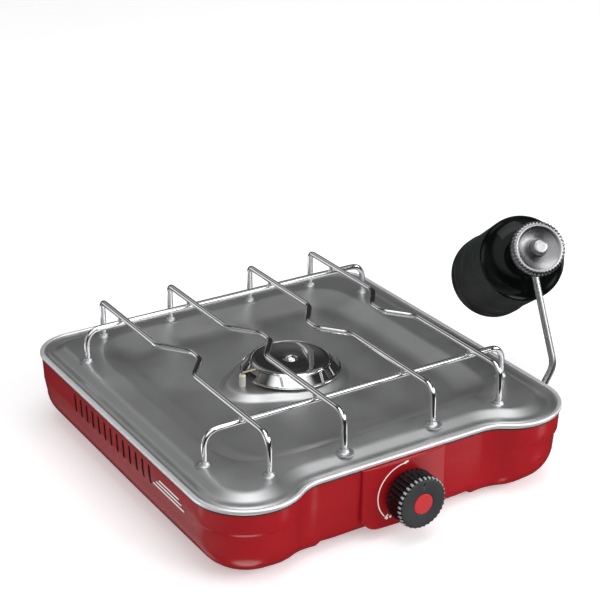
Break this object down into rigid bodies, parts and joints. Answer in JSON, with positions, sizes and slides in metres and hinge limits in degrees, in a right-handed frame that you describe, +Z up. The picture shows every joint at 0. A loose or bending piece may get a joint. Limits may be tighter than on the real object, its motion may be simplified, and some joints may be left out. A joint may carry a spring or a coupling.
{
  "type": "camp stove",
  "caption": "Single-burner tabletop camp stove with a wire pot grate, front control knob, drip pan and a screw-on gas cylinder held by a plug-in regulator.",
  "frame": {"origin": "on the floor plane, straight below the grate's centre, on the stove's left-right middle plane", "axes": "+Z up, the control knob's side is -Y, the gas cylinder's side is +X"},
  "size_m": [0.4405, 0.3608, 0.1852],
  "materials": {
    "red_enamel": "glossy red enamel",
    "print_white": "thin screen print",
    "pan_steel": "satin drawn steel",
    "plate_steel": "plain zinc-coated sheet",
    "rubber": "moulded",
    "zinc_steel": "bright zinc",
    "cast_alloy": "as cast",
    "port_steel": "heat-tinted",
    "burner_chrome": "polished",
    "brass": "turned",
    "copper_pipe": "drawn tube",
    "black_plastic": "moulded",
    "lead_sleeve": "silicone sleeve",
    "ceramic": "glazed ceramic",
    "electrode_wire": "heat-tinted wire",
    "wire_chrome": "polished plating",
    "knob_black": "fluted, glossy",
    "knob_grey": "matte face",
    "cap_red": "inset disc",
    "pipe_steel": "satin tube",
    "regulator_alloy": "pressed, satin",
    "seal_black": "moulded",
    "tank_paint": "dark green-black, glossy dome",
    "tank_foot": "push-on foot ring"
  },
  "bodies": {
    "stove": {"casing": "red_enamel", "base_plate": "plate_steel", "rubber_feet": "rubber", "base_screws": "zinc_steel", "control_panel": "red_enamel", "dial_marks": "print_white", "side_stripes": "print_white", "drip_pan": "pan_steel", "burner_bowl": "cast_alloy", "port_ring": "port_steel", "burner_skirt": "burner_chrome", "burner_cap": "burner_chrome", "burner_screw": "burner_chrome", "venturi_tube": "cast_alloy", "gas_jet": "brass", "valve_body": "brass", "valve_nut": "zinc_steel", "valve_bracket": "plate_steel", "bracket_screws": "zinc_steel", "inlet_pipe": "copper_pipe", "inlet_socket": "brass", "socket_nut": "zinc_steel", "piezo_igniter": "black_plastic", "igniter_lead": "lead_sleeve", "electrode_insulator": "ceramic", "electrode_tip": "electrode_wire", "electrode_clip": "plate_steel"},
    "grate": {"pot_wire_1": "wire_chrome", "pot_wire_2": "wire_chrome", "pot_wire_3": "wire_chrome", "pot_wire_4": "wire_chrome", "cross_wire_front": "wire_chrome", "cross_wire_rear": "wire_chrome"},
    "rotor": {"valve_plug": "brass"},
    "knob": {"valve_stem": "zinc_steel", "control_knob": "knob_black", "knob_face": "knob_grey", "knob_centre_cap": "cap_red", "stem_spring": "zinc_steel"},
    "regulator": {"regulator_plug": "brass", "plug_ring": "seal_black", "regulator_pipe": "pipe_steel", "regulator_cover": "regulator_alloy", "regulator_boss": "regulator_alloy", "regulator_housing": "regulator_alloy", "diaphragm": "seal_black", "regulator_spring": "zinc_steel", "thread_collar": "brass", "probe_pin": "brass", "collar_seal": "seal_black"},
    "cylinder": {"gas_cylinder": "tank_paint", "cylinder_valve": "brass", "relief_valve": "brass", "cylinder_foot": "tank_foot"}
  },
  "joints": [
    {"name": "grate_lift", "type": "slide", "parent": "stove", "child": "grate", "axis": [0, 0, 1], "range_m": [0, 0.06]},
    {"name": "knob_turn", "type": "hinge", "parent": "stove", "child": "rotor", "pos_m": [0, -0.15, 0.0363], "axis": [0, -1, 0], "range_deg": [0, 130]},
    {"name": "knob_push", "type": "slide", "parent": "rotor", "child": "knob", "axis": [0, 1, 0], "range_m": [0, 0.0025], "stiffness_N_per_m": 900, "springref_m": -0.003, "deforming": ["stem_spring"]},
    {"name": "regulator_unplug", "type": "slide", "parent": "stove", "child": "regulator", "axis": [1, 0, 0], "range_m": [0, 0.022]},
    {"name": "cylinder_unscrew", "type": "slide", "parent": "regulator", "child": "cylinder", "axis": [0.3077, 0.7893, -0.5314], "range_m": [0, 0.04]}
  ]
}
